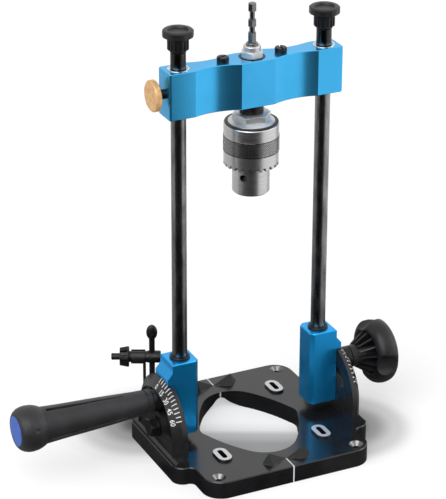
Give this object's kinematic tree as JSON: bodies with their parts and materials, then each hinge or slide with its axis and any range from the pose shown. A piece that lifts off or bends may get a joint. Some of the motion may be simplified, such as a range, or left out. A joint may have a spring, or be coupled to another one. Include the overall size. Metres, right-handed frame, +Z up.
{
  "type": "portable drill guide",
  "caption": "Tilting drill guide: a flat open base with graduated side plates carries two posts, on which a bar slides with a ball-borne spindle, hexagonal drive shank and keyed chuck.",
  "frame": {"origin": "centre of the corner screw pattern at the underside of the base, on the drilling axis", "axes": "+Z up along the posts, +X to the star knob, -Y to the front, the side the posts tilt towards"},
  "size_m": [0.3485, 0.171, 0.3961],
  "materials": {
    "dark_steel": "black oxide",
    "cast_black": "matte fine grain",
    "bearing_steel": "ground",
    "chuck_steel": "turned",
    "spindle_steel": "turned, bright",
    "key_steel": "satin",
    "steel": "satin",
    "blue_anodised": "fine blasted, anodised",
    "collar_steel": "turned",
    "cap_blue": "satin",
    "grip_rubber": "matte",
    "holder_plastic": "matte",
    "lock_brass": "matte",
    "bush_steel": "turned",
    "knob_plastic": "matte",
    "post_steel": "ground, dark",
    "ring_black": "satin",
    "scale_black": "matte"
  },
  "bodies": {
    "base": {"base_plate": "cast_black", "sector_left": "scale_black", "sector_right": "scale_black", "sector_screws": "steel", "key_holder": "holder_plastic", "key_holder_screw": "dark_steel", "chuck_key_body": "key_steel", "chuck_key_bar": "key_steel"},
    "frame": {"post_block_left": "blue_anodised", "post_block_right": "blue_anodised", "post_left": "post_steel", "post_right": "post_steel", "post_ring_left": "ring_black", "post_ring_right": "ring_black", "post_grub_screw_left": "dark_steel", "post_grub_screw_right": "dark_steel", "pivot_bolt_left": "dark_steel", "pivot_bolt_right": "dark_steel", "pivot_washer_left": "dark_steel", "pivot_washer_right": "dark_steel"},
    "carriage": {"crossbar": "blue_anodised", "post_bush_left": "bush_steel", "post_bush_right": "bush_steel", "bar_screws": "dark_steel", "bearing_outer_lower": "bearing_steel", "bearing_outer_upper": "bearing_steel"},
    "spindle": {"spindle": "spindle_steel", "spindle_lock_nut": "spindle_steel", "spindle_spacer": "ring_black", "bearing_inner_lower": "bearing_steel", "bearing_inner_upper": "bearing_steel", "chuck_flange_nut": "spindle_steel", "chuck_body": "chuck_steel"},
    "sleeve": {"chuck_sleeve": "chuck_steel", "chuck_split_nut": "steel"},
    "jaw_1": {"chuck_jaw_1": "chuck_steel"},
    "jaw_2": {"chuck_jaw_2": "chuck_steel"},
    "jaw_3": {"chuck_jaw_3": "chuck_steel"},
    "side_handle": {"handle_collar": "collar_steel", "handle_stud": "steel", "handle_grip": "grip_rubber", "handle_end_cap": "cap_blue"},
    "star_clamp": {"star_collar": "collar_steel", "star_knob_stud": "steel", "star_knob": "knob_plastic"},
    "slide_lock": {"lock_screw": "lock_brass"},
    "knob_left": {"post_knob_left": "knob_plastic", "post_knob_stud_left": "steel"},
    "knob_right": {"post_knob_right": "knob_plastic", "post_knob_stud_right": "steel"}
  },
  "joints": [
    {"name": "tilt", "type": "hinge", "parent": "base", "child": "frame", "pos_m": [0, 0, 0.0316], "axis": [1, 0, 0], "range_deg": [0, 60]},
    {"name": "carriage_slide", "type": "slide", "parent": "frame", "child": "carriage", "axis": [0, 0, -1], "range_m": [-0.0145, 0.2162]},
    {"name": "spindle_spin", "type": "hinge", "parent": "carriage", "child": "spindle", "pos_m": [0, 0, 0.331], "axis": [0, 0, 1], "continuous": true},
    {"name": "sleeve_turn", "type": "hinge", "parent": "spindle", "child": "sleeve", "pos_m": [0, 0, 0.265], "axis": [0, 0, 1], "range_deg": [0, 3680]},
    {"name": "jaw_1_slide", "type": "slide", "parent": "spindle", "child": "jaw_1", "axis": [-0.0383, 0.2217, -0.9744], "range_m": [0, 0.0256]},
    {"name": "jaw_2_slide", "type": "slide", "parent": "spindle", "child": "jaw_2", "axis": [-0.1728, -0.144, -0.9744], "range_m": [0, 0.0256]},
    {"name": "jaw_3_slide", "type": "slide", "parent": "spindle", "child": "jaw_3", "axis": [0.2111, -0.0777, -0.9744], "range_m": [0, 0.0256]},
    {"name": "handle_turn", "type": "hinge", "parent": "frame", "child": "side_handle", "pos_m": [-0.12, 0, 0.0567], "axis": [-1, 0, 0], "range_deg": [0, 360]},
    {"name": "star_knob_turn", "type": "hinge", "parent": "frame", "child": "star_clamp", "pos_m": [0.12, 0, 0.0567], "axis": [1, 0, 0], "range_deg": [0, 360]},
    {"name": "slide_lock_turn", "type": "hinge", "parent": "carriage", "child": "slide_lock", "pos_m": [-0.085, 0, 0.331], "axis": [-1, 0, 0], "range_deg": [0, 360]},
    {"name": "post_knob_left_turn", "type": "hinge", "parent": "frame", "child": "knob_left", "pos_m": [-0.0653, 0, 0.37], "axis": [0, 0, 1], "range_deg": [0, 360]},
    {"name": "post_knob_right_turn", "type": "hinge", "parent": "frame", "child": "knob_right", "pos_m": [0.0653, 0, 0.37], "axis": [0, 0, 1], "range_deg": [0, 360]}
  ],
  "couplings": [
    {"joint": "jaw_1_slide", "follows": "sleeve_turn", "m_per_rad": 0.00039789},
    {"joint": "jaw_2_slide", "follows": "sleeve_turn", "m_per_rad": 0.00039789},
    {"joint": "jaw_3_slide", "follows": "sleeve_turn", "m_per_rad": 0.00039789}
  ]
}
